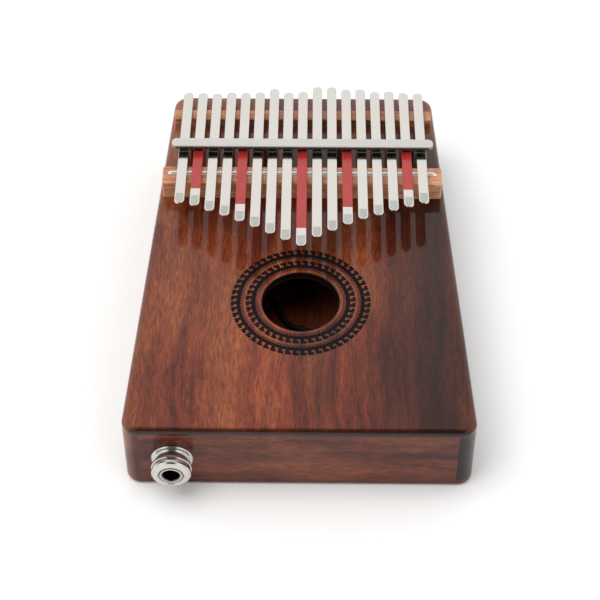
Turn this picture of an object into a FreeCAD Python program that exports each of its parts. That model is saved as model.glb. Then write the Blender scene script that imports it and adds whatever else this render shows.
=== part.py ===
"""A 17-tine box kalimba (a modern mbira) with a contact pickup and an output jack.

Frame: millimetres, origin at the centre of the box's underside, +X to the player's right,
+Y from the jack end towards the head, +Z up. Every piece is its own solid in its own file.
"""
import FreeCAD, Part
import math
import os

os.makedirs("parts", exist_ok=True)
V = FreeCAD.Vector
X_AXIS = V(1, 0, 0)
Y_AXIS = V(0, 1, 0)

# Box
LENGTH = 183.0
FRONT_WIDTH = 134.0
HEAD_WIDTH = 111.0
HEIGHT = 33.4
PLATE = 3.2
WALL = 7.0
CORNER_R = 6.0
TOP_ROUND = 2.2
BOTTOM_ROUND = 1.5
FRONT_Y = -LENGTH / 2
HEAD_Y = LENGTH / 2

# Sound hole
HOLE_Y = -27.2
HOLE_R = 15.2
HOLE_ROUND = 0.5

# Front bridge and the steel rod let into its top
BRIDGE_HALF = 57.6
BRIDGE_FRONT_Y = 29.7
BRIDGE_DEPTH = 9.6
BRIDGE_HEIGHT = 8.7
BRIDGE_ROUND = 0.8
ROD_Y = 35.2
ROD_Z = HEIGHT + 8.6
ROD_R = 1.0
ROD_HALF = 53.4
ROD_BEND_R = 2.0
ROD_LEG = 3.0
ROD_FIT = 0.03

# Rear rest
REST_HALF = 54.9
REST_FRONT_Y = 72.4
REST_DEPTH = 6.0
REST_HEIGHT = 4.15
REST_ROUND = 0.6

# Tines: flat strips that lie on the rest and the rod and rise towards their tips
TINE_COUNT = 17
TINE_PITCH = 6.19
TINE_WIDTH = 4.1
TINE_T = 1.0
TINE_SLOPE = 7.3
TINE_GAP = 0.03
# Playing length in front of the rod, and the length behind it, for tines 1 to 17
FREE_LENGTHS = [22, 23.5, 27, 30, 33.5, 37, 41, 45, 48.5, 43, 39, 35, 31.5, 29, 26, 23.5, 21]
TAIL_LENGTHS = [54.5, 54.4, 54, 55, 54.7, 55.3, 57.9, 55.2, 55.9, 59.4, 59.4, 57.7, 57.9, 56.1, 56.4, 55.4, 55.1]
# A tine bends where it leaves the rod: a pivot in mid-thickness stands for that bend
PIVOT_AHEAD = 3.0
PIVOT_GAP = 0.03

# Pressure bar: a flange on a web with a round lower edge
BAR_Y = 49.8
BAR_HALF = 54.4
BAR_DEPTH = 5.1
BAR_T = 1.5
BAR_END_R = 2.0
BAR_ROUND = 0.45
WEB_T = 2.0
WEB_HEIGHT = 2.1
WEB_HALF = 52.4

# Clamp block under the top, and the screws that pull the bar down between the tines
BLOCK_HALF = 50.0
BLOCK_DEPTH = 14.0
BLOCK_HEIGHT = 12.0
SCREW_GAPS = [-7.5, -2.5, 2.5, 7.5]
SCREW_R = 0.9
SCREW_CLEAR_R = 1.1
SCREW_TAP_R = 0.95
SCREW_BITE = 2.4
SCREW_HEAD_R = 2.0
SCREW_HEAD_T = 1.6
WASHER_R = 3.0
WASHER_T = 0.6

# Pickup
DISC_Y = 32.0
DISC_R = 10.0
DISC_T = 0.3
CERAMIC_R = 7.0
CERAMIC_T = 0.25

# Output jack; its profiles give radius and distance out of the front wall's outer face
JACK_X = -48.0
JACK_Z = HEIGHT / 2
JACK_HOLE_R = 5.6
JACK_BODY_R = 5.5
JACK_BORE_R = 3.25
JACK_NOSE_R = 4.3
JACK_FRONT = 8.6
JACK_SHOULDER = 6.2
JACK_BORE_END = -22.4
JACK_CHAMBER_R = 4.4
JACK_TAIL = -28.0
JACK_FIT = 0.05
COLLAR_PROFILE = [(8.0, 0.0), (8.0, 0.7), (7.7, 1.1), (6.9, 1.3), (6.5, 1.8), (6.5, 3.6), (6.9, 4.1),
                  (7.4, 4.2), (7.7, 4.5), (7.7, 5.2), (7.4, 5.5), (6.7, 5.6), (6.7, 6.2)]
CAP_PROFILE = [(6.9, 6.2), (7.5, 6.5), (7.5, 7.6), (7.1, 8.2), (6.2, 8.6), (5.3, 8.7), (5.1, 8.45)]
NUT_FLATS = 15.0
NUT_T = 3.0
LOCK_WASHER_R = 8.2
LOCK_WASHER_T = 0.8
INSULATOR_T = 2.0
INSULATOR_R = 4.35
INSULATOR_TAIL_R = 3.4
LEAF_T = 0.4
LEAF_HALF_WIDTH = 1.2
LEAF_RISE = 2.4
HOOK_RISE = 1.0
LEAF_CLEAR = 0.6
BORE_CHAMFER = 0.35
LUG_SIZE = (2.0, 0.5, 4.5)
LUG_OFFSET = 2.6

# Pickup lead, from the disc down to the floor of the box and along it to the jack
LEAD_D = 2.4
LEAD_ROUTE = [(-8.5, 32.0, 29.9), (-8.5, 32.0, 24.0), (-13.0, 29.0, 17.0), (-19.0, 23.0, 10.5),
              (-19.0, 14.0, 5.6), (-14.0, 4.5, 4.7), (-9.5, -5.5, 4.6), (-6.0, -15.5, 4.6),
              (4.5, -18.0, 4.6), (13.0, -25.5, 4.6), (9.5, -38.0, 4.6), (-3.0, -46.0, 4.6),
              (-17.0, -47.5, 4.7), (-29.0, -43.0, 7.0), (-39.0, -41.0, 11.0), (-47.0, -47.0, 15.5),
              (-48.0, -55.0, JACK_Z), (-48.0, -61.5, JACK_Z)]
RUN_SHARE = 0.45


def save(name, shape):
    """Write one node, checked for validity."""
    if not shape.isValid():
        raise ValueError(name + " is not a valid solid")
    shape.exportStep("parts/" + name + ".step")
    print(name, len(shape.Solids), "solid(s)", round(shape.Volume, 1), "mm3")


def half_width(y):
    """Half the width of the box's outline at a distance y along it."""
    share = (y - FRONT_Y) / LENGTH
    return (FRONT_WIDTH + (HEAD_WIDTH - FRONT_WIDTH) * share) / 2


def prism(points, z_low, z_high):
    """Extrude a closed outline of (x, y) points between two heights."""
    corners = [V(x, y, z_low) for x, y in points]
    face = Part.Face(Part.makePolygon(corners + corners[:1]))
    return face.extrude(V(0, 0, z_high - z_low))


def box(x_low, x_high, y_low, y_high, z_low, z_high):
    return Part.makeBox(x_high - x_low, y_high - y_low, z_high - z_low, V(x_low, y_low, z_low))


def edges_where(shape, test):
    """The edges whose two ends and middle all satisfy a test."""
    chosen = []
    for edge in shape.Edges:
        middle = edge.valueAt((edge.FirstParameter + edge.LastParameter) / 2)
        points = [vertex.Point for vertex in edge.Vertexes] + [middle]
        if all(test(point) for point in points):
            chosen.append(edge)
    return chosen


def near(a, b):
    return abs(a - b) < 1e-6


def envelope():
    """The whole box as one solid, with rounded corners and edges."""
    outline = [(-half_width(FRONT_Y), FRONT_Y), (half_width(FRONT_Y), FRONT_Y),
               (half_width(HEAD_Y), HEAD_Y), (-half_width(HEAD_Y), HEAD_Y)]
    solid = prism(outline, 0, HEIGHT)
    uprights = [edge for edge in solid.Edges if near(edge.Vertexes[0].X, edge.Vertexes[-1].X)]
    uprights = [edge for edge in uprights if near(edge.Vertexes[0].Y, edge.Vertexes[-1].Y)]
    solid = solid.makeFillet(CORNER_R, uprights)
    solid = solid.makeFillet(TOP_ROUND, edges_where(solid, lambda p: near(p.z, HEIGHT)))
    return solid.makeFillet(BOTTOM_ROUND, edges_where(solid, lambda p: near(p.z, 0)))


def side_region(sign):
    """Plan region outside one side wall's inner face, past both ends of the box."""
    near_end = FRONT_Y - 1
    far_end = HEAD_Y + 1
    outside = sign * FRONT_WIDTH
    return prism([(sign * (half_width(near_end) - WALL), near_end), (outside, near_end),
                  (outside, far_end), (sign * (half_width(far_end) - WALL), far_end)], 0, HEIGHT)


def screw_places():
    return [gap * TINE_PITCH for gap in SCREW_GAPS]


def posts(radius, z_low, z_high):
    """Upright cylinders at the clamp screws' places."""
    return [Part.makeCylinder(radius, z_high - z_low, V(x, BAR_Y, z_low)) for x in screw_places()]


def cut_all(solid, tools):
    for tool in tools:
        solid = solid.cut(tool)
    return solid


def make_box():
    """Plates, side walls and end walls; the jack's hole is in the front wall."""
    whole = envelope()
    size = FRONT_WIDTH * 2
    under_top = HEIGHT - PLATE
    top = whole.common(box(-size, size, -size, size, under_top, HEIGHT + 1))
    hole = Part.makeCylinder(HOLE_R, PLATE + 2, V(0, HOLE_Y, under_top - 1))
    top = cut_all(top, [hole] + posts(SCREW_CLEAR_R, under_top - 1, HEIGHT + 1))
    rim = edges_where(top, lambda p: near(math.hypot(p.x, p.y - HOLE_Y), HOLE_R))
    top = top.makeFillet(HOLE_ROUND, [edge for edge in rim if near(edge.Vertexes[0].Z, HEIGHT)
                                      and near(edge.valueAt(edge.LastParameter / 2).z, HEIGHT)])
    save("top_plate", top)
    save("back_plate", whole.common(box(-size, size, -size, size, -1, PLATE)))
    ring = whole.common(box(-size, size, -size, size, PLATE, under_top))
    left = side_region(-1)
    right = side_region(1)
    save("left_side", ring.common(left))
    save("right_side", ring.common(right))
    between = ring.cut(left).cut(right)
    front = between.common(box(-size, size, FRONT_Y - 1, FRONT_Y + WALL, 0, HEIGHT))
    drill = Part.makeCylinder(JACK_HOLE_R, WALL + 2, V(JACK_X, FRONT_Y - 1, JACK_Z), Y_AXIS)
    save("front_wall", front.cut(drill))
    save("head_wall", between.common(box(-size, size, HEAD_Y - WALL, HEAD_Y + 1, 0, HEIGHT)))


def rod(radius):
    """The saddle rod: a straight run whose ends turn down into the wood."""
    pieces = [Part.makeCylinder(radius, 2 * ROD_HALF, V(-ROD_HALF, ROD_Y, ROD_Z), X_AXIS)]
    for sign in (-1, 1):
        centre = V(sign * ROD_HALF, ROD_Y, ROD_Z - ROD_BEND_R)
        ring = Part.makeTorus(ROD_BEND_R, radius, centre, Y_AXIS)
        reach = 2 * ROD_BEND_R
        low_x, high_x = sorted((centre.x, centre.x + sign * reach))
        quarter = box(low_x, high_x, ROD_Y - reach, ROD_Y + reach, centre.z, centre.z + reach)
        leg_x = centre.x + sign * ROD_BEND_R
        pieces.append(ring.common(quarter))
        pieces.append(Part.makeCylinder(radius, ROD_LEG, V(leg_x, ROD_Y, centre.z - ROD_LEG)))
    return pieces[0].multiFuse(pieces[1:]).removeSplitter()


def bar_of_wood(half, y_low, depth, height, roundness):
    """A wooden bar on the top plate, rounded on every edge but those on the plate."""
    solid = box(-half, half, y_low, y_low + depth, HEIGHT, HEIGHT + height)
    return solid.makeFillet(roundness, [edge for edge in solid.Edges
                                        if max(v.Z for v in edge.Vertexes) > HEIGHT])


def make_supports():
    """Front bridge with its rod, and the rear rest."""
    bridge = bar_of_wood(BRIDGE_HALF, BRIDGE_FRONT_Y, BRIDGE_DEPTH, BRIDGE_HEIGHT, BRIDGE_ROUND)
    save("front_bridge", bridge.cut(rod(ROD_R + ROD_FIT)))
    save("saddle_rod", rod(ROD_R))
    save("rear_rest", bar_of_wood(REST_HALF, REST_FRONT_Y, REST_DEPTH, REST_HEIGHT, REST_ROUND))


def web_centre_height():
    """Height of the axis of the web's round lower edge, which presses on the tines' tops."""
    slope = math.radians(TINE_SLOPE)
    above_rod = ROD_R + TINE_GAP + TINE_T + TINE_GAP + WEB_T / 2
    return ROD_Z + (above_rod - (BAR_Y - ROD_Y) * math.sin(slope)) / math.cos(slope)


def make_clamp():
    """Pressure bar, the block under the top, and the screws and washers that join them."""
    web_z = web_centre_height()
    flange_z = web_z - WEB_T / 2 + WEB_HEIGHT
    flange = box(-BAR_HALF, BAR_HALF, BAR_Y - BAR_DEPTH / 2, BAR_Y + BAR_DEPTH / 2,
                 flange_z, flange_z + BAR_T)
    flange = flange.makeFillet(BAR_END_R, edges_where(flange, lambda p: near(abs(p.x), BAR_HALF)
                                                      and near(abs(p.y - BAR_Y), BAR_DEPTH / 2)))
    flange = flange.makeFillet(BAR_ROUND, edges_where(flange, lambda p: near(p.z, flange_z + BAR_T)))
    web = box(-WEB_HALF, WEB_HALF, BAR_Y - WEB_T / 2, BAR_Y + WEB_T / 2, web_z, flange_z)
    edge = Part.makeCylinder(WEB_T / 2, 2 * WEB_HALF, V(-WEB_HALF, BAR_Y, web_z), X_AXIS)
    bar = flange.multiFuse([web, edge]).removeSplitter()
    bite_z = web_z - WEB_T / 2 + SCREW_BITE
    save("pressure_bar", cut_all(bar, posts(SCREW_TAP_R, web_z - WEB_T, bite_z)))

    block_top = HEIGHT - PLATE
    block_low = block_top - BLOCK_HEIGHT
    block = box(-BLOCK_HALF, BLOCK_HALF, BAR_Y - BLOCK_DEPTH / 2, BAR_Y + BLOCK_DEPTH / 2,
                block_low, block_top)
    save("clamp_block", cut_all(block, posts(SCREW_CLEAR_R, block_low - 1, block_top + 1)))
    washer_low = block_low - WASHER_T
    head_low = washer_low - SCREW_HEAD_T
    washers = []
    screws = []
    for x in screw_places():
        ring = Part.makeCylinder(WASHER_R, WASHER_T, V(x, BAR_Y, washer_low))
        washers.append(ring.cut(Part.makeCylinder(SCREW_CLEAR_R, WASHER_T, V(x, BAR_Y, washer_low))))
        head = Part.makeCylinder(SCREW_HEAD_R, SCREW_HEAD_T, V(x, BAR_Y, head_low))
        shank = Part.makeCylinder(SCREW_R, bite_z - washer_low, V(x, BAR_Y, washer_low))
        screws.append(head.fuse(shank).removeSplitter())
    save("clamp_washers", Part.makeCompound(washers))
    save("clamp_screws", Part.makeCompound(screws))


def strip(y_tip, y_tail, round_tip):
    """A tine's strip in its own frame, round at one end: Y towards the tail, Z out of its face."""
    radius = TINE_WIDTH / 2
    low = ROD_R + TINE_GAP
    if round_tip:
        flat = box(-radius, radius, y_tip + radius, y_tail, low, low + TINE_T)
        end = Part.makeCylinder(radius, TINE_T, V(0, y_tip + radius, low))
    else:
        flat = box(-radius, radius, y_tip, y_tail - radius, low, low + TINE_T)
        end = Part.makeCylinder(radius, TINE_T, V(0, y_tail - radius, low))
    return flat.fuse(end)


def make_tines():
    """Each tine as a clamped tail, and a tongue that turns about the pivot ahead of the rod."""
    middle = ROD_R + TINE_GAP + TINE_T / 2
    turn = FreeCAD.Rotation(X_AXIS, -TINE_SLOPE)
    for index in range(TINE_COUNT):
        x = (index - (TINE_COUNT - 1) / 2) * TINE_PITCH
        place = FreeCAD.Placement(V(x, ROD_Y, ROD_Z), turn)
        tail = strip(-PIVOT_AHEAD + TINE_T / 2 + PIVOT_GAP, TAIL_LENGTHS[index], False)
        tongue = strip(-FREE_LENGTHS[index], -PIVOT_AHEAD, True)
        knuckle = Part.makeCylinder(TINE_T / 2, TINE_WIDTH, V(-TINE_WIDTH / 2, -PIVOT_AHEAD, middle),
                                    X_AXIS)
        for part_name, solid in (("tail", tail), ("tongue", tongue.fuse(knuckle))):
            solid = solid.removeSplitter()
            solid.Placement = place
            save("tine_%02d_%s" % (index + 1, part_name), solid)


def out_of_wall(distance):
    """The Y of a point a given distance out of the front wall's outer face."""
    return FRONT_Y - distance


def revolve(profile):
    """Turn a closed (radius, distance out of the wall) outline about the jack's axis."""
    corners = [V(JACK_X + radius, out_of_wall(out), JACK_Z) for radius, out in profile]
    face = Part.Face(Part.makePolygon(corners + corners[:1]))
    return face.revolve(V(JACK_X, FRONT_Y, JACK_Z), Y_AXIS, 360)


def jack_cylinder(radius, out_from, out_to):
    """A solid cylinder on the jack's axis between two distances out of the wall."""
    start = V(JACK_X, out_of_wall(max(out_from, out_to)), JACK_Z)
    return Part.makeCylinder(radius, abs(out_to - out_from), start, Y_AXIS)


def make_jack():
    """Collar, end cap, barrel with the plug's bore, and what holds and wires it inside."""
    inner = JACK_BODY_R + JACK_FIT
    save("jack_collar", revolve([(inner, 0.0)] + COLLAR_PROFILE + [(inner, JACK_SHOULDER)]))
    nose_hole = JACK_NOSE_R + JACK_FIT
    save("jack_end_cap", revolve([(nose_hole, JACK_SHOULDER)] + CAP_PROFILE
                                 + [(nose_hole, CAP_PROFILE[-1][1])]))
    save("jack_barrel", revolve([
        (JACK_BORE_R, JACK_FRONT - BORE_CHAMFER), (JACK_BORE_R + BORE_CHAMFER, JACK_FRONT),
        (JACK_NOSE_R, JACK_FRONT), (JACK_NOSE_R, JACK_SHOULDER), (JACK_BODY_R, JACK_SHOULDER),
        (JACK_BODY_R, JACK_TAIL), (JACK_CHAMBER_R, JACK_TAIL), (JACK_CHAMBER_R, JACK_BORE_END),
        (JACK_BORE_R, JACK_BORE_END)]))
    washer = jack_cylinder(LOCK_WASHER_R, -WALL, -WALL - LOCK_WASHER_T)
    save("jack_washer", washer.cut(jack_cylinder(inner, -WALL, -WALL - LOCK_WASHER_T)))
    nut_near = -WALL - LOCK_WASHER_T
    reach = NUT_FLATS / math.sqrt(3)
    corners = []
    for step in range(6):
        angle = math.radians(60 * step)
        corners.append(V(JACK_X + reach * math.cos(angle), out_of_wall(nut_near),
                         JACK_Z + reach * math.sin(angle)))
    nut = Part.Face(Part.makePolygon(corners + corners[:1])).extrude(V(0, NUT_T, 0))
    save("jack_nut", nut.cut(jack_cylinder(inner, nut_near, nut_near - NUT_T)))

    plug_end = JACK_TAIL + INSULATOR_T
    tail_end = JACK_TAIL - INSULATOR_T
    insulator = jack_cylinder(INSULATOR_R, plug_end, JACK_TAIL)
    insulator = insulator.fuse(jack_cylinder(INSULATOR_TAIL_R, JACK_TAIL, tail_end))
    save("jack_insulator", insulator.removeSplitter())
    leaf_y = out_of_wall(JACK_BORE_END - LEAF_CLEAR)
    leaf_left = JACK_X - LEAF_HALF_WIDTH
    leaf_right = JACK_X + LEAF_HALF_WIDTH
    leaf_low = JACK_Z + LEAF_RISE
    leaf = box(leaf_left, leaf_right, leaf_y, out_of_wall(plug_end), leaf_low, leaf_low + LEAF_T)
    hook = box(leaf_left, leaf_right, leaf_y, leaf_y + LEAF_T, JACK_Z + HOOK_RISE, leaf_low + LEAF_T)
    save("jack_tip_contact", leaf.fuse(hook).removeSplitter())
    width, thickness, length = LUG_SIZE
    tail_y = out_of_wall(tail_end)
    lugs = [box(JACK_X - width / 2, JACK_X + width / 2, tail_y, tail_y + length,
                JACK_Z + side * LUG_OFFSET - thickness / 2, JACK_Z + side * LUG_OFFSET + thickness / 2)
            for side in (-1, 1)]
    save("jack_lugs", Part.makeCompound(lugs))


def rounded_path(points):
    """Straight runs joined by tangent arcs as large as each pair of runs allows."""
    edges = []
    start = points[0]
    radii = []
    for before, corner, after in zip(points, points[1:], points[2:]):
        back = (before - corner)
        ahead = (after - corner)
        trim = RUN_SHARE * min(back.Length, ahead.Length)
        half_turn = (math.pi - back.getAngle(ahead)) / 2
        radius = trim / math.tan(half_turn)
        radii.append(radius)
        back.normalize()
        ahead.normalize()
        arc_start = corner + back * trim
        arc_end = corner + ahead * trim
        to_centre = back + ahead
        to_centre.normalize()
        centre_distance = radius / math.cos(half_turn)
        arc_middle = corner + to_centre * (centre_distance - radius)
        edges.append(Part.LineSegment(start, arc_start).toShape())
        edges.append(Part.Arc(arc_start, arc_middle, arc_end).toShape())
        start = arc_end
    edges.append(Part.LineSegment(start, points[-1]).toShape())
    print("lead arc radii", [round(radius, 1) for radius in radii])
    return Part.Wire(edges)


def make_pickup():
    """Piezo disc under the top plate and its lead to the jack."""
    disc_top = HEIGHT - PLATE
    save("piezo_disc", Part.makeCylinder(DISC_R, DISC_T, V(0, DISC_Y, disc_top - DISC_T)))
    ceramic_low = disc_top - DISC_T - CERAMIC_T
    save("piezo_ceramic", Part.makeCylinder(CERAMIC_R, CERAMIC_T, V(0, DISC_Y, ceramic_low)))
    points = [V(*point) for point in LEAD_ROUTE]
    path = rounded_path(points)
    section = Part.Wire(Part.makeCircle(LEAD_D / 2, points[0], points[1] - points[0]))
    tube = path.makePipeShell([section], True, True)
    length = path.Length
    expected = math.pi * LEAD_D ** 2 / 4 * length
    print("lead length", round(length, 1), "volume ratio", round(tube.Volume / expected, 4))
    save("pickup_lead", tube)


make_box()
make_supports()
make_clamp()
make_tines()
make_jack()
make_pickup()
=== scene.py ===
import math

import bmesh
import bpy
from mathutils import Matrix, Vector


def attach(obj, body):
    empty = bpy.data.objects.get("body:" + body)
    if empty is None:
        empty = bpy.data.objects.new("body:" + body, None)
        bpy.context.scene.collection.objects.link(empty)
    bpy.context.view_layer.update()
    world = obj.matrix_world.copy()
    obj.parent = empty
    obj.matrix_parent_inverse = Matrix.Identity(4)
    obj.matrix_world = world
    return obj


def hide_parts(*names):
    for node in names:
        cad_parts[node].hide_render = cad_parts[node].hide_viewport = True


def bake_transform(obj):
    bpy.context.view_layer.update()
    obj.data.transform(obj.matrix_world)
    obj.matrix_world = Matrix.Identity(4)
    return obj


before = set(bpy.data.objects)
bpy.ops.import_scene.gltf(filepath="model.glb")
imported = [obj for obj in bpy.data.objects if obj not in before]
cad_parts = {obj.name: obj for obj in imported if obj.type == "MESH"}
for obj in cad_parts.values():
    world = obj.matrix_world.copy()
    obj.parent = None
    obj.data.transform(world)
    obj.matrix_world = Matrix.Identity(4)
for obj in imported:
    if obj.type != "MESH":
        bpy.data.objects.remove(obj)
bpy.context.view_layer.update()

# The mbira's looks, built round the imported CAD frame.  Metres; +X right, +Y from the jack end to
# the head, +Z up, origin under the middle of the box.
MM = 0.001

# Box
HALF_LENGTH = 91.5 * MM
HALF_WIDTH = 67.0 * MM
TOP_Z = 33.4 * MM
TOP_PLATE_DEPTH = 3.2 * MM
EDGE_ROUND = 2.2 * MM
HOLE_Y = -27.2 * MM

# Rosette bands, in millimetres from the hole's centre: ticks from, solid line from, teeth from,
# teeth to, how many ticks, how many teeth
ROSETTE_BANDS = [(16.7, 18.0, 19.5, 21.7, 104, 44), (22.7, 23.85, 25.3, 27.6, 142, 56)]
HOLE_WALL_FROM = 15.35
HOLE_WALL_TO = 15.6

# Tines: 17 flat steel strips that lean on the rod and run under the pressure bar
ROD_Y = 35.2 * MM
ROD_Z = 42.0 * MM
PITCH = 6.19 * MM
TINE_WIDTH = 4.1 * MM
TINE_LOW = 1.03 * MM
TINE_HIGH = 2.03 * MM
TINE_SLOPE = math.radians(7.3)
FREE_LENGTHS = [22, 23.5, 27, 30, 33.5, 37, 41, 45, 48.5, 43, 39, 35, 31.5, 29, 26, 23.5, 21]
TAIL_LENGTHS = [
    54.5, 54.4, 54, 55, 54.7, 55.3, 57.9, 55.2, 55.9,
    59.4, 59.4, 57.7, 57.9, 56.1, 56.4, 55.4, 55.1,
]
RED_TINES = (2, 5, 9, 12, 16)
TINE_EDGE = 0.22 * MM
TINE_STEP = 1.4 * MM
END_STEPS = 8
MIDDLE_TINE = 9
ETCHED_LENGTH = 6.2 * MM
ETCHED_RIM = 0.28 * MM
PAINT_STOPS = 10.8 * MM
PAINT_STARTS = 12.6 * MM

# Jack, turned about a line along Y
JACK_X = -48.0 * MM
JACK_Z = 16.7 * MM
JACK_BORE_EDGE = 3.3 * MM
JACK_FACE_FROM = 4.1 * MM
JACK_GROOVE_FROM = 4.35 * MM
JACK_GROOVE_TO = 4.85 * MM

# Pickup lead
LEAD_DIAMETER = 2.4 * MM
LEAD_ROUTE = [
    (-8.5, 32.0, 29.9), (-8.5, 32.0, 24.0), (-13.0, 29.0, 17.0), (-19.0, 23.0, 10.5),
    (-19.0, 14.0, 5.6), (-14.0, 4.5, 4.7), (-9.5, -5.5, 4.6), (-6.0, -15.5, 4.6),
    (4.5, -18.0, 4.6), (13.0, -25.5, 4.6), (9.5, -38.0, 4.6), (-3.0, -46.0, 4.6),
    (-17.0, -47.5, 4.7), (-29.0, -43.0, 7.0), (-39.0, -41.0, 11.0), (-47.0, -47.0, 15.5),
    (-48.0, -55.0, 16.7), (-48.0, -61.5, 16.7),
]


# ---------------------------------------------------------------- camera, lights and floor

def make_camera():
    """Long lens from high in front of the jack end."""
    data = bpy.data.cameras.new("camera")
    data.sensor_width = 36.0
    data.lens = 111.1
    camera = bpy.data.objects.new("camera", data)
    camera.location = (0.00436, -0.5075, 0.58322)
    camera.rotation_euler = (math.radians(41.184), 0.0, math.radians(0.551))
    bpy.context.collection.objects.link(camera)
    bpy.context.scene.camera = camera


def make_area_light(name, place, size, power, tint):
    data = bpy.data.lights.new(name, "AREA")
    data.shape = "SQUARE"
    data.size = size
    data.energy = power
    data.color = tint
    light = bpy.data.objects.new(name, data)
    light.location = place
    light.rotation_euler = (-Vector(place)).to_track_quat("-Z", "Y").to_euler()
    light.visible_glossy = False
    bpy.context.collection.objects.link(light)


def make_world():
    """A pale studio, brightest part way up, with a dark gap on the -Y side up to overhead."""
    world = bpy.data.worlds.new("studio")
    world.use_nodes = True
    nodes = world.node_tree.nodes
    links = world.node_tree.links
    coordinates = nodes.new("ShaderNodeTexCoord")
    split = nodes.new("ShaderNodeSeparateXYZ")
    links.new(coordinates.outputs["Generated"], split.inputs[0])
    aside = nodes.new("ShaderNodeMath")
    aside.operation = "ABSOLUTE"
    links.new(split.outputs["X"], aside.inputs[0])
    gap = None
    # Each direction's edge runs from outside the gap to inside it
    for value, low, high in ((split.outputs["Y"], 0.25, 0.0), (split.outputs["Z"], 0.22, 0.40),
                             (aside.outputs[0], 0.46, 0.28)):
        edge = nodes.new("ShaderNodeMapRange")
        edge.interpolation_type = "SMOOTHSTEP"
        edge.inputs["From Min"].default_value = low
        edge.inputs["From Max"].default_value = high
        links.new(value, edge.inputs["Value"])
        if gap is None:
            gap = edge
            continue
        both = nodes.new("ShaderNodeMath")
        both.operation = "MULTIPLY"
        links.new(gap.outputs[0], both.inputs[0])
        links.new(edge.outputs[0], both.inputs[1])
        gap = both
    blend = nodes.new("ShaderNodeMix")
    blend.data_type = "RGBA"
    blend.inputs[7].default_value = (0.08, 0.08, 0.08, 1.0)
    ramp = nodes.new("ShaderNodeValToRGB")
    elements = ramp.color_ramp.elements
    levels = [(0.0, 0.69), (0.3, 0.78), (0.5, 0.98), (0.66, 0.98), (0.80, 0.64), (1.0, 0.64)]
    while len(elements) < len(levels):
        elements.new(0.5)
    for element, (position, level) in zip(elements, levels):
        element.position = position
        element.color = (level, level, level, 1.0)
    links.new(split.outputs["Z"], ramp.inputs["Fac"])
    links.new(ramp.outputs["Color"], blend.inputs[6])
    links.new(gap.outputs[0], blend.inputs[0])
    links.new(blend.outputs[2], nodes["Background"].inputs["Color"])
    nodes["Background"].inputs["Strength"].default_value = 1.3
    bpy.context.scene.world = world


# ---------------------------------------------------------------- materials

def linear(red, green, blue):
    """A colour given as 0 to 255 screen values, as the shader wants it."""
    values = []
    for level in (red, green, blue):
        part = level / 255.0
        values.append(part / 12.92 if part <= 0.04045 else ((part + 0.055) / 1.055) ** 2.4)
    return (values[0], values[1], values[2], 1.0)


class Material:
    """One Principled material, with short calls that add and join nodes."""

    def __init__(self, name, **settings):
        self.material = bpy.data.materials.new(name)
        self.material.use_nodes = True
        self.nodes = self.material.node_tree.nodes
        self.links = self.material.node_tree.links
        self.shader = self.nodes["Principled BSDF"]
        for socket, value in settings.items():
            self.shader.inputs[socket.replace("_", " ")].default_value = value

    def add(self, kind, inputs=(), **settings):
        """A new node; inputs are (socket, value or another node's output)."""
        node = self.nodes.new(kind)
        for key, value in settings.items():
            setattr(node, key, value)
        for socket, value in inputs:
            self.join(value, node.inputs[socket])
        return node

    def join(self, value, socket):
        if isinstance(value, bpy.types.NodeSocket):
            self.links.new(value, socket)
        else:
            socket.default_value = value

    def math(self, operation, first, second=0.0, third=0.0, clamp=False):
        node = self.add("ShaderNodeMath", [(0, first), (1, second), (2, third)], operation=operation)
        node.use_clamp = clamp
        return node.outputs[0]

    def between(self, value, low, high, soft):
        """1 where value lies between low and high, with edges this soft, else 0."""
        up = self.remap(value, low - soft, low + soft)
        down = self.remap(value, high - soft, high + soft)
        return self.math("SUBTRACT", up, down, clamp=True)

    def remap(self, value, low, high, to_low=0.0, to_high=1.0):
        inputs = [(0, value), (1, low), (2, high), (3, to_low), (4, to_high)]
        return self.add("ShaderNodeMapRange", inputs, clamp=True).outputs[0]

    def mix(self, factor, first, second, blend="MIX"):
        node = self.add("ShaderNodeMix", data_type="RGBA", blend_type=blend)
        self.join(factor, node.inputs[0])
        self.join(first, node.inputs[6])
        self.join(second, node.inputs[7])
        return node.outputs[2]

    def ramp(self, value, stops):
        node = self.add("ShaderNodeValToRGB", [(0, value)])
        elements = node.color_ramp.elements
        while len(elements) < len(stops):
            elements.new(0.5)
        for element, (position, colour) in zip(elements, stops):
            element.position = position
            element.color = colour if isinstance(colour, tuple) else (colour, colour, colour, 1.0)
        return node.outputs[0]

    def place(self, scale=(1.0, 1.0, 1.0), shift=(0.0, 0.0, 0.0)):
        """Object coordinates, stretched and shifted."""
        coordinates = self.add("ShaderNodeTexCoord").outputs["Object"]
        inputs = [(0, coordinates), (1, shift), (3, scale)]
        return self.add("ShaderNodeMapping", inputs).outputs[0]

    def noise(self, scale, detail=4.0, roughness=0.55, stretch=(1.0, 1.0, 1.0), shift=(0.0, 0.0, 0.0)):
        inputs = [(0, self.place(stretch, shift)), ("Scale", scale), ("Detail", detail),
                  ("Roughness", roughness)]
        return self.add("ShaderNodeTexNoise", inputs).outputs[0]

    def grey(self, value):
        """A number as a grey colour."""
        return self.add("ShaderNodeCombineColor", [(0, value), (1, value), (2, value)]).outputs[0]

    def bump(self, height, depth, strength=1.0):
        inputs = [("Height", height), ("Distance", depth), ("Strength", strength)]
        node = self.add("ShaderNodeBump", inputs)
        self.links.new(node.outputs[0], self.shader.inputs["Normal"])

    def colour(self, value):
        self.join(value, self.shader.inputs["Base Color"])

    def roughness(self, value):
        self.join(value, self.shader.inputs["Roughness"])


def along(axis, run, cross):
    """A stretch for grain that runs along axis 0, 1 or 2."""
    stretch = [cross, cross, cross]
    stretch[axis] = run
    return tuple(stretch)


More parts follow.
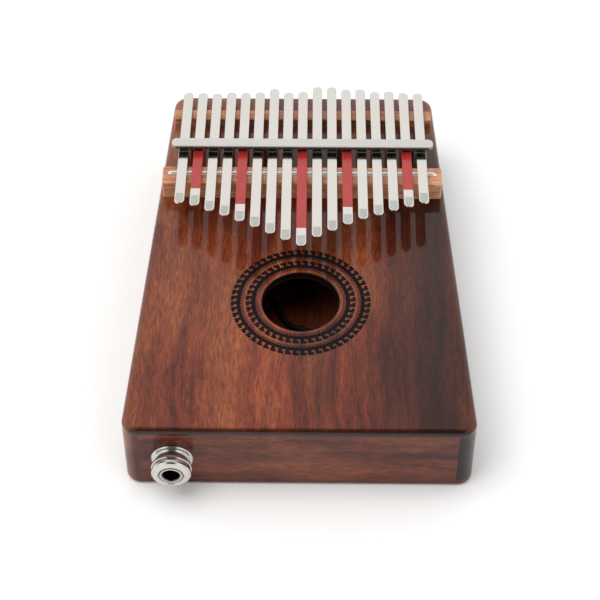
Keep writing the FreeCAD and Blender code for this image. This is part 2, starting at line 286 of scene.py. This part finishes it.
def wandering_place(mat, amount):
    """Object coordinates pushed about by slow noise, so that grain lines wander and lean."""
    coordinates = mat.add("ShaderNodeTexCoord").outputs["Object"]
    slow = mat.add("ShaderNodeTexNoise", [(0, coordinates), ("Scale", 17.0), ("Detail", 2.5)])
    centred = mat.add("ShaderNodeVectorMath", [(0, slow.outputs["Color"]), (1, (0.5, 0.5, 0.5))],
                      operation="SUBTRACT").outputs[0]
    push = mat.add("ShaderNodeVectorMath", [(0, centred), (1, (amount, amount, amount)), (2, coordinates)],
                   operation="MULTIPLY_ADD")
    return push.outputs[0]


def stretched_noise(mat, vector, stretch, detail, roughness, shift):
    inputs = [(0, vector), (1, shift), (3, stretch)]
    mapped = mat.add("ShaderNodeMapping", inputs).outputs[0]
    inputs = [(0, mapped), ("Scale", 1.0), ("Detail", detail), ("Roughness", roughness)]
    return mat.add("ShaderNodeTexNoise", inputs).outputs[0]


def wood_colour(mat, axis, shift, tones, depth=1.0):
    """Grain colour from a slow figure, streaks, fibres and pores; returns (colour, pores, streaks).

    tones are dark, middle, light and tan.
    """
    vector = wandering_place(mat, 0.012)
    figure = stretched_noise(mat, vector, along(axis, 15.0, 72.0), 4.0, 0.55, shift)
    streak = stretched_noise(mat, vector, along(axis, 16.0, 300.0), 5.0, 0.6, shift)
    fibre = stretched_noise(mat, vector, along(axis, 170.0, 1500.0), 4.0, 0.7, shift)
    pore = stretched_noise(mat, vector, along(axis, 240.0, 2300.0), 2.0, 0.5, shift)
    pores = mat.remap(pore, 0.60, 0.69)
    shade = mat.math("MULTIPLY_ADD", streak, 0.55, mat.math("MULTIPLY", figure, 0.45))
    tone = mat.ramp(shade, [(0.37, tones[0]), (0.49, tones[1]), (0.61, tones[2])])
    warm = mat.math("MULTIPLY", mat.remap(figure, 0.47, 0.66), 0.62)
    tone = mat.mix(warm, tone, tones[3])
    fine = mat.remap(fibre, 0.34, 0.66, 1.0 - 0.46 * depth, 1.0 + 0.42 * depth)
    scaled = mat.mix(1.0, tone, mat.grey(fine), "MULTIPLY")
    dotted = mat.mix(mat.math("MULTIPLY", pores, 0.55 * depth), scaled, darker(tones[0], 0.35))
    return dotted, pores, streak


def darker(tone, part):
    """This part of a colour's brightness."""
    return (tone[0] * part, tone[1] * part, tone[2] * part, 1.0)


def lacquered(name, coat=1.0):
    """Wood under a gloss lacquer."""
    return Material(name, Roughness=0.42, Coat_Weight=coat, Coat_Roughness=0.03, Coat_IOR=1.38,
                    Specular_IOR_Level=0.1)


def split_place(mat):
    """Object coordinates as three numbers."""
    node = mat.add("ShaderNodeSeparateXYZ", [(0, mat.place())])
    return node.outputs[0], node.outputs[1], node.outputs[2]


def rosette(mat, x, y):
    """Two burnt bands round the sound hole, each of ticks, a solid line and hooked teeth.

    Returns (where it is burnt, millimetres from the hole's centre).
    """
    ahead = mat.math("SUBTRACT", y, HOLE_Y)
    radius = mat.math("SQRT", mat.math("MULTIPLY_ADD", x, x, mat.math("MULTIPLY", ahead, ahead)))
    radius = mat.math("DIVIDE", radius, MM)
    turn = mat.math("DIVIDE", mat.math("ARCTAN2", ahead, x), 2 * math.pi)
    soft = 0.07
    parts = []
    for tick_low, line_low, tooth_low, tooth_high, ticks, teeth in ROSETTE_BANDS:
        lean = mat.math("MULTIPLY_ADD", radius, 0.35, mat.math("MULTIPLY", turn, float(ticks)))
        tick = mat.math("FRACT", lean)
        tick_on = mat.between(tick, 0.18, 0.72, 0.06)
        ring = mat.between(radius, tick_low, line_low, soft)
        parts.append(mat.math("MULTIPLY", tick_on, ring))
        parts.append(mat.between(radius, line_low - 0.05, tooth_low + 0.05, soft))
        tooth = mat.math("FRACT", mat.math("MULTIPLY", turn, float(teeth)))
        middle = tooth_low + 0.46 * (tooth_high - tooth_low)
        stem = mat.math("MULTIPLY", mat.between(tooth, 0.04, 0.56, 0.03),
                        mat.between(radius, tooth_low, middle, soft))
        head = mat.math("MULTIPLY", mat.between(tooth, 0.04, 0.84, 0.03),
                        mat.between(radius, middle - 0.05, tooth_high, soft))
        parts.append(stem)
        parts.append(head)
    mask = parts[0]
    for part in parts[1:]:
        mask = mat.math("MAXIMUM", mask, part)
    return mask, radius


def make_top_wood():
    """Lacquered walnut with broad streaks along Y, dark end grain and the burnt rosette."""
    mat = lacquered("top_wood")
    x, y, z = split_place(mat)
    tones = (linear(84, 30, 17), linear(120, 50, 28), linear(144, 68, 38), linear(152, 84, 46))
    wood, pores, streak = wood_colour(mat, 1, (0.31, 0.12, 0.07), tones)
    wander = mat.noise(1.0, 2.0, 0.5, (14.0, 9.0, 14.0), (0.5, 0.2, 0.0))
    ripple = mat.noise(1.0, 3.0, 0.6, (160.0, 12.0, 160.0), (0.1, 0.7, 0.0))
    place = mat.math("MULTIPLY_ADD", wander, 0.016, mat.math("SUBTRACT", x, 0.008))
    place = mat.math("MULTIPLY_ADD", ripple, 0.006, mat.math("SUBTRACT", place, 0.003))
    position = mat.remap(place, -HALF_WIDTH, HALF_WIDTH)
    bands = mat.ramp(position, [
        (0.00, linear(204, 206, 208)), (0.10, linear(220, 220, 221)), (0.27, linear(221, 220, 220)),
        (0.36, linear(248, 248, 246)), (0.46, linear(255, 252, 246)), (0.50, linear(206, 196, 190)),
        (0.58, linear(176, 170, 168)), (0.63, linear(226, 220, 218)), (0.70, linear(216, 208, 204)),
        (0.745, linear(178, 166, 162)), (0.80, linear(150, 138, 136)), (0.87, linear(112, 104, 106)),
        (0.915, linear(84, 80, 86)), (0.955, linear(140, 130, 128)), (1.00, linear(150, 138, 134))])
    headward = mat.remap(y, 0.060, 0.082)
    bands = mat.mix(mat.math("MULTIPLY", headward, 0.85), bands, linear(255, 255, 255))
    banded = mat.mix(1.0, wood, bands, "MULTIPLY")
    faded = mat.math("MULTIPLY", mat.remap(y, 0.040, 0.085), 0.30)
    banded = mat.mix(faded, banded, linear(150, 112, 90))
    end = mat.math("ABSOLUTE", y)
    end_grain = mat.remap(end, HALF_LENGTH - 0.9 * EDGE_ROUND, HALF_LENGTH - 0.35 * EDGE_ROUND)
    with_ends = mat.mix(mat.math("MULTIPLY", end_grain, 0.86), banded, linear(30, 12, 8))
    mask, radius = rosette(mat, x, y)
    worn = mat.noise(1.0, 4.0, 0.6, (900.0, 900.0, 900.0))
    burn = mat.math("MULTIPLY", mask, mat.remap(worn, 0.25, 0.45, 0.86, 1.0))
    top_only = mat.remap(z, TOP_Z - 0.3 * MM, TOP_Z - 0.1 * MM)
    burn = mat.math("MULTIPLY", burn, top_only)
    inside = mat.math("SUBTRACT", 1.0, mat.remap(radius, HOLE_WALL_FROM, HOLE_WALL_TO))
    bare = mat.mix(inside, with_ends, linear(17, 14, 13))
    underside = TOP_Z - TOP_PLATE_DEPTH
    under = mat.math("SUBTRACT", 1.0, mat.remap(z, underside + 0.05 * MM, underside + 0.2 * MM))
    raw = mat.mix(mat.math("MULTIPLY", under, 0.8), bare, linear(112, 74, 50))
    mat.colour(mat.mix(burn, raw, linear(8, 8, 8)))
    covered = mat.math("MAXIMUM", mat.math("MULTIPLY", burn, 0.97), inside)
    mat.join(mat.math("SUBTRACT", 1.0, covered), mat.shader.inputs["Coat Weight"])
    mat.roughness(mat.remap(streak, 0.3, 0.7, 0.36, 0.50))
    sunk = mat.math("ADD", mat.math("MULTIPLY", pores, -0.5), mat.math("MULTIPLY", burn, -0.6))
    mat.bump(sunk, 0.00005, 0.6)
    return mat.material


def make_board_wood(name, axis, shift, tones, edge_darkening=0.0):
    """Lacquered walnut for a wall, with grain along one axis; its ends show darker end grain."""
    mat = lacquered(name, 0.62)
    wood, pores, streak = wood_colour(mat, axis, shift, tones)
    if edge_darkening:
        y = split_place(mat)[1]
        end = mat.math("ABSOLUTE", y)
        end_grain = mat.remap(end, HALF_LENGTH - 0.8 * MM, HALF_LENGTH - 0.2 * MM)
        speck = mat.noise(1.0, 3.0, 0.7, (1500.0, 1500.0, 1500.0))
        rings = mat.noise(1.0, 3.0, 0.6, (420.0, 30.0, 60.0), shift)
        mottle = mat.math("MULTIPLY_ADD", speck, 0.5, mat.math("MULTIPLY", rings, 0.5))
        mottle = mat.remap(mottle, 0.35, 0.65)
        grain = mat.ramp(mottle, [(0.2, darker(tones[0], 0.55)), (0.8, darker(tones[1], 0.75))])
        wood = mat.mix(mat.math("MULTIPLY", end_grain, edge_darkening), wood, grain)
    mat.colour(wood)
    mat.roughness(mat.remap(streak, 0.3, 0.7, 0.36, 0.50))
    mat.bump(mat.math("MULTIPLY", pores, -0.5), 0.00005, 0.5)
    return mat.material


def make_oiled_wood(name, tones, shift, roughness):
    """Bare or oiled wood with open pores, grain along X."""
    mat = Material(name, Roughness=roughness, Specular_IOR_Level=0.35)
    wood, pores, streak = wood_colour(mat, 0, shift, tones, 0.8)
    figure = mat.noise(1.0, 3.0, 0.6, (150.0, 40.0, 40.0), shift)
    shaded = mat.mix(1.0, wood, mat.grey(mat.remap(figure, 0.3, 0.7, 0.90, 1.08)), "MULTIPLY")
    mat.colour(shaded)
    mat.roughness(mat.remap(streak, 0.3, 0.7, roughness - 0.08, roughness + 0.1))
    fibre = mat.noise(1.0, 3.0, 0.7, along(0, 70.0, 1800.0), shift)
    height = mat.math("MULTIPLY_ADD", pores, -0.8, fibre)
    mat.bump(height, 0.00008, 0.55)
    return mat.material


def make_steel(name, tint, roughness, brushed_axis=None, depth=0.000004, metallic=1.0):
    """Metal with fine lines along one axis, or a soft mottle, and faint handling marks."""
    mat = Material(name, Metallic=metallic, Roughness=roughness)
    if brushed_axis is None:
        lines = mat.noise(1.0, 4.0, 0.6, (1400.0, 1400.0, 1400.0))
    else:
        lines = mat.noise(1.0, 4.0, 0.6, along(brushed_axis, 30.0, 3800.0))
    cloud = mat.noise(1.0, 4.0, 0.6, (90.0, 90.0, 90.0))
    lighter = tuple(min(1.0, part * 1.02) for part in tint[:3]) + (1.0,)
    mat.colour(mat.ramp(lines, [(0.3, darker(tint, 0.965)), (0.7, lighter)]))
    rough = mat.remap(cloud, 0.3, 0.7, -0.03, 0.04)
    rough = mat.math("ADD", rough, mat.remap(lines, 0.3, 0.7, roughness - 0.03, roughness + 0.05))
    mat.roughness(mat.math("MAXIMUM", rough, 0.04))
    mat.bump(lines, depth, 0.25)
    return mat.material


def make_bar_steel():
    """Satin on the bar's face; its edges, front and underside polished, with painted shade darkening them.
    """
    mat = Material("bar_steel", Metallic=0.85)
    lines = mat.noise(1.0, 4.0, 0.6, along(0, 30.0, 3800.0))
    cloud = mat.noise(1.0, 4.0, 0.6, (70.0, 200.0, 200.0))
    normal = mat.add("ShaderNodeNewGeometry").outputs["Normal"]
    face = mat.remap(mat.add("ShaderNodeSeparateXYZ", [(0, normal)]).outputs[2], 0.30, 0.72)
    satin = mat.ramp(lines, [(0.3, (0.64, 0.62, 0.585, 1.0)), (0.7, (0.68, 0.66, 0.625, 1.0))])
    # Painted shade: faces that do not point up (rounded edges, front, underside) get a near-black colour
    # in place of the satin
    mat.colour(mat.mix(face, (0.20, 0.185, 0.165, 1.0), satin))
    satin_rough = mat.remap(cloud, 0.3, 0.7, 0.42, 0.52)
    mat.roughness(mat.math("MULTIPLY_ADD", face, mat.math("SUBTRACT", satin_rough, 0.12), 0.12))
    mat.bump(lines, 0.000006, 0.3)
    return mat.material


def make_turned_nickel():
    """Turned, satin-plated jack parts: fine rings round the jack's axis; bore edge and groove get painted
    shade.
    """
    mat = Material("jack_nickel", Metallic=1.0, Roughness=0.24)
    x, y, z = split_place(mat)
    across = mat.math("SUBTRACT", x, JACK_X)
    up = mat.math("SUBTRACT", z, JACK_Z)
    radius = mat.math("SQRT", mat.math("MULTIPLY_ADD", across, across, mat.math("MULTIPLY", up, up)))
    where = mat.add("ShaderNodeCombineXYZ", [(0, radius), (1, y), (2, 0.0)]).outputs[0]
    rings = mat.add("ShaderNodeTexNoise", [(0, where), ("Scale", 6200.0), ("Detail", 3.0)]).outputs[0]
    cloud = mat.noise(1.0, 3.0, 0.6, (260.0, 260.0, 260.0))
    tint = mat.ramp(rings, [(0.3, (0.51, 0.49, 0.455, 1.0)), (0.7, (0.69, 0.67, 0.63, 1.0))])
    # Painted shade: the nose face darkens towards the bore's edge
    depth = mat.remap(radius, JACK_BORE_EDGE, JACK_FACE_FROM, 0.25, 1.0)
    # Painted shade in the shallow groove round the nose
    in_groove = mat.between(radius, JACK_GROOVE_FROM, JACK_GROOVE_TO, 0.08 * MM)
    painted_groove_shade = mat.math("SUBTRACT", 1.0, in_groove)
    painted_groove_shade = mat.math("MULTIPLY_ADD", painted_groove_shade, 0.85, 0.15)
    depth = mat.math("MULTIPLY", depth, painted_groove_shade)
    mat.colour(mat.mix(1.0, tint, mat.grey(depth), "MULTIPLY"))
    mat.roughness(mat.remap(cloud, 0.3, 0.7, 0.14, 0.24))
    mat.bump(rings, 0.00003, 0.6)
    return mat.material


def make_red_paint():
    """Red paint with a soft sheen and a few darker specks."""
    mat = Material("tine_red", Roughness=0.34, Specular_IOR_Level=0.35, Coat_Weight=0.25,
                   Coat_Roughness=0.12)
    cloud = mat.noise(1.0, 5.0, 0.6, (240.0, 90.0, 240.0))
    speck = mat.noise(1.0, 3.0, 0.6, (2600.0, 2600.0, 2600.0))
    tone = mat.ramp(cloud, [(0.3, linear(152, 36, 34)), (0.7, linear(168, 46, 42))])
    mat.colour(mat.mix(mat.remap(speck, 0.62, 0.75, 0.0, 0.3), tone, linear(122, 28, 28)))
    mat.roughness(mat.remap(cloud, 0.3, 0.7, 0.24, 0.36))
    mat.bump(speck, 0.00001, 0.5)
    return mat.material


def make_etched():
    """The frosted patch at each tine's tip."""
    mat = Material("tine_etched", Metallic=0.25, Roughness=0.55)
    speck = mat.noise(1.0, 4.0, 0.7, (3200.0, 3200.0, 3200.0))
    cloud = mat.noise(1.0, 3.0, 0.6, (350.0, 350.0, 350.0))
    tone = mat.ramp(speck, [(0.3, linear(154, 155, 149)), (0.7, linear(178, 178, 171))])
    mat.colour(mat.mix(mat.remap(cloud, 0.35, 0.7, 0.0, 0.35), tone, linear(196, 196, 190)))
    mat.roughness(mat.remap(speck, 0.3, 0.7, 0.45, 0.65))
    mat.bump(speck, 0.00001, 0.6)
    return mat.material


def make_soft_plain(name, low, high, roughness, scale=900.0, depth=0.00002, metallic=0.0):
    """Moulded or fired material: two close tones, a fine texture and a soft bump."""
    mat = Material(name, Roughness=roughness, Metallic=metallic)
    speck = mat.noise(1.0, 4.0, 0.6, (scale, scale, scale))
    cloud = mat.noise(1.0, 3.0, 0.6, (scale / 9, scale / 9, scale / 9))
    tone = mat.ramp(cloud, [(0.35, low), (0.65, high)])
    mat.colour(mat.mix(mat.remap(speck, 0.55, 0.75, 0.0, 0.35), tone, darker(low, 0.7)))
    mat.roughness(mat.remap(speck, 0.3, 0.7, roughness - 0.06, roughness + 0.08))
    mat.bump(speck, depth, 0.6)
    return mat.material


def make_floor_material():
    mat = Material("floor", Roughness=0.9, Specular_IOR_Level=0.1)
    mat.colour((0.93, 0.93, 0.93, 1.0))
    return mat.material


# ---------------------------------------------------------------- meshes

def new_piece(name, mesh, materials):
    piece = bpy.data.objects.new(name, mesh)
    bpy.context.collection.objects.link(piece)
    for material in materials:
        mesh.materials.append(material)
    return piece


def tine_stations(free, tail):
    """(centre along the tine, turn) of each cross-section, tip to tail; turn rounds the ends."""
    radius = TINE_WIDTH / 2
    stations = []
    for step in range(END_STEPS + 1):
        stations.append((radius - free, math.radians(90) * step / END_STEPS))
    marks = [ETCHED_LENGTH - free, PAINT_STOPS - free, PAINT_STARTS]
    place = radius - free + TINE_STEP
    while place < tail - radius - TINE_STEP / 2:
        if min(abs(place - mark) for mark in marks) > 0.4 * MM:
            stations.append((place, math.radians(90)))
        place += TINE_STEP
    for mark in marks:
        stations.append((mark, math.radians(90)))
    stations = stations[:END_STEPS + 1] + sorted(stations[END_STEPS + 1:])
    for step in range(END_STEPS + 1):
        stations.append((tail - radius, math.radians(90) * (1 + step / END_STEPS)))
    return stations


def tine_outline(stations, inset):
    """Points (x, y) round the tine's plan, inset by this much: up one side and down the other."""
    radius = TINE_WIDTH / 2 - inset
    right = [(radius * math.sin(turn), place - radius * math.cos(turn)) for place, turn in stations]
    left = [(-x, y) for x, y in right[-2:0:-1]]
    return right + left


def tine_rings():
    """(inset, height) of each loop from the underside to the face, with rounded edges."""
    rings = []
    for step in range(4):
        turn = math.radians(30 * step)
        rings.append((TINE_EDGE * (1 - math.sin(turn)), TINE_LOW + TINE_EDGE * (1 - math.cos(turn))))
    for step in range(4):
        turn = math.radians(90 - 30 * step)
        rings.append((TINE_EDGE * (1 - math.sin(turn)), TINE_HIGH - TINE_EDGE * (1 - math.cos(turn))))
    rings.append((TINE_EDGE + ETCHED_RIM, TINE_HIGH))
    return rings


def cap_tine(form, ring, count):
    """Closes one face with strips across it, from the pole at the tip to the pole at the tail."""
    total = len(ring)
    faces = []
    for index in range(count - 1):
        right_near = ring[index]
        right_far = ring[index + 1]
        left_near = ring[(total - index) % total]
        left_far = ring[(total - index - 1) % total]
        corners = []
        for vertex in (right_near, right_far, left_far, left_near):
            if vertex not in corners:
                corners.append(vertex)
        faces.append(form.faces.new(corners))
    return faces


def make_tine(number, free, tail, metals):
    """One strip with rounded ends and edges: steel, a frosted tip and, on some, red paint."""
    stations = tine_stations(free, tail)
    form = bmesh.new()
    loops = []
    for inset, height in tine_rings():
        outline = tine_outline(stations, inset)
        loops.append([form.verts.new((x, y, height)) for x, y in outline])
    size = len(loops[0])
    for low, high in zip(loops, loops[1:]):
        for index in range(size):
            after = (index + 1) % size
            form.faces.new((low[index], low[after], high[after], high[index]))
    under = cap_tine(form, loops[0], len(stations))
    bmesh.ops.reverse_faces(form, faces=under)
    top = set(cap_tine(form, loops[-1], len(stations)))
    bmesh.ops.recalc_face_normals(form, faces=form.faces[:])
    red = number in RED_TINES
    for face in form.faces:
        face.smooth = True
        middle = face.calc_center_median()
        face.material_index = 0
        if face in top and middle.y < ETCHED_LENGTH - free:
            face.material_index = 1
        if red and PAINT_STOPS - free < middle.y < PAINT_STARTS and middle.z > TINE_LOW + 0.1 * MM:
            face.material_index = 2
    turn = Matrix.Rotation(-TINE_SLOPE, 4, "X")
    shift = Matrix.Translation(((number - MIDDLE_TINE) * PITCH, ROD_Y, ROD_Z))
    form.transform(shift @ turn)
    mesh = bpy.data.meshes.new("tine_%02d_strip" % number)
    form.to_mesh(mesh)
    form.free()
    piece = new_piece(mesh.name, mesh, metals)
    mesh.set_sharp_from_angle(angle=math.radians(50))
    smooth_by_weight(piece)
    return piece


def smooth_by_weight(piece):
    """Flat faces stay flat beside their rounded edges."""
    modifier = piece.modifiers.new("weighted", "WEIGHTED_NORMAL")
    modifier.keep_sharp = True
    modifier.weight = 90


def make_tines(metals):
    for number, (free, tail) in enumerate(zip(FREE_LENGTHS, TAIL_LENGTHS), 1):
        piece = make_tine(number, free * MM, tail * MM, metals)
        body = "tine_%02d" % number
        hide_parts(body + "_tail", body + "_tongue")
        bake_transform(piece)


def make_lead(jacket):
    """The free cord from the pickup disc, along the floor of the box, to the jack."""
    data = bpy.data.curves.new("pickup_wire", "CURVE")
    data.dimensions = "3D"
    line = data.splines.new("NURBS")
    line.points.add(len(LEAD_ROUTE) - 1)
    for point, place in zip(line.points, LEAD_ROUTE):
        point.co = (place[0] * MM, place[1] * MM, place[2] * MM, 1.0)
    line.order_u = 3
    line.use_endpoint_u = True
    line.resolution_u = 10
    data.bevel_depth = LEAD_DIAMETER / 2
    data.bevel_resolution = 6
    data.use_fill_caps = True
    data.materials.append(jacket)
    lead = bpy.data.objects.new("pickup_wire", data)
    bpy.context.collection.objects.link(lead)
    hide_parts("pickup_lead")
    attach(lead, "root")


def paint_node(name, material):
    """Gives a carried CAD node its material."""
    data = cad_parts[name].data
    data.materials.clear()
    data.materials.append(material)


def make_floor(material):
    form = bmesh.new()
    bmesh.ops.create_grid(form, x_segments=8, y_segments=8, size=6.0)
    bmesh.ops.translate(form, vec=(0.0, 0.0, -0.0002), verts=form.verts)
    mesh = bpy.data.meshes.new("floor")
    form.to_mesh(mesh)
    form.free()
    new_piece("floor", mesh, [material])


def finish_nodes():
    """Materials for every CAD node that stays."""
    paint_node("top_plate", make_top_wood())
    side_tones = (linear(70, 32, 20), linear(96, 46, 29), linear(118, 62, 40), linear(128, 74, 46))
    dark_tones = (linear(30, 20, 18), linear(44, 29, 25), linear(62, 42, 35), linear(74, 50, 38))
    wall_tones = (linear(62, 24, 16), linear(92, 42, 27), linear(114, 56, 37), linear(124, 68, 45))
    paint_node("left_side", make_board_wood("left_side_wood", 1, (0.4, 0.9, 0.2), side_tones, 0.75))
    paint_node("right_side", make_board_wood("right_side_wood", 1, (0.8, 0.3, 0.6), dark_tones, 0.9))
    wall = make_board_wood("end_wall_wood", 0, (0.2, 0.5, 0.9), wall_tones)
    paint_node("front_wall", wall)
    paint_node("head_wall", wall)
    paint_node("back_plate", make_board_wood("back_wood", 1, (0.6, 0.1, 0.3), wall_tones, 0.5))
    pale = (linear(132, 80, 54), linear(160, 106, 74), linear(184, 130, 94), linear(192, 142, 104))
    paler = (linear(164, 104, 72), linear(196, 136, 100), linear(216, 162, 124), linear(222, 172, 136))
    paint_node("front_bridge", make_oiled_wood("bridge_wood", paler, (0.3, 0.2, 0.8), 0.42))
    paint_node("rear_rest", make_oiled_wood("rest_wood", pale, (0.6, 0.8, 0.2), 0.42))
    raw = (linear(146, 104, 70), linear(176, 134, 94), linear(200, 162, 120), linear(206, 172, 130))
    paint_node("clamp_block", make_oiled_wood("block_wood", raw, (0.7, 0.4, 0.1), 0.7))
    paint_node("saddle_rod", make_steel("rod_steel", (0.88, 0.87, 0.84, 1.0), 0.42, 0))
    paint_node("pressure_bar", make_bar_steel())
    screw = make_steel("screw_steel", (0.34, 0.33, 0.32, 1.0), 0.3)
    paint_node("clamp_screws", screw)
    paint_node("clamp_washers", screw)
    nickel = make_turned_nickel()
    for name in ("jack_collar", "jack_end_cap", "jack_barrel", "jack_washer", "jack_nut"):
        paint_node(name, nickel)
    plastic = make_soft_plain("jack_plastic", linear(30, 30, 31), linear(42, 42, 43), 0.5)
    paint_node("jack_insulator", plastic)
    brass = make_soft_plain("contact_brass", (0.62, 0.46, 0.20, 1.0), (0.75, 0.57, 0.27, 1.0), 0.3,
                            700.0, 0.00001, 1.0)
    for name in ("jack_tip_contact", "jack_lugs", "piezo_disc"):
        paint_node(name, brass)
    paint_node("piezo_ceramic", make_soft_plain("ceramic", linear(214, 208, 192),
                                                linear(232, 227, 214), 0.6))


make_camera()
make_lead(make_soft_plain("lead_jacket", linear(20, 20, 21), linear(31, 31, 32), 0.5))
make_world()
make_area_light("overhead", (-0.35, -0.15, 1.3), 1.0, 10.5, (1.0, 0.99, 0.97))
make_floor(make_floor_material())
tine_metals = [
    make_steel("tine_steel", (0.61, 0.582, 0.54, 1.0), 0.12, 1),
    make_etched(),
    make_red_paint(),
]
make_tines(tine_metals)
finish_nodes()

bpy.context.scene.view_settings.view_transform = "Standard"
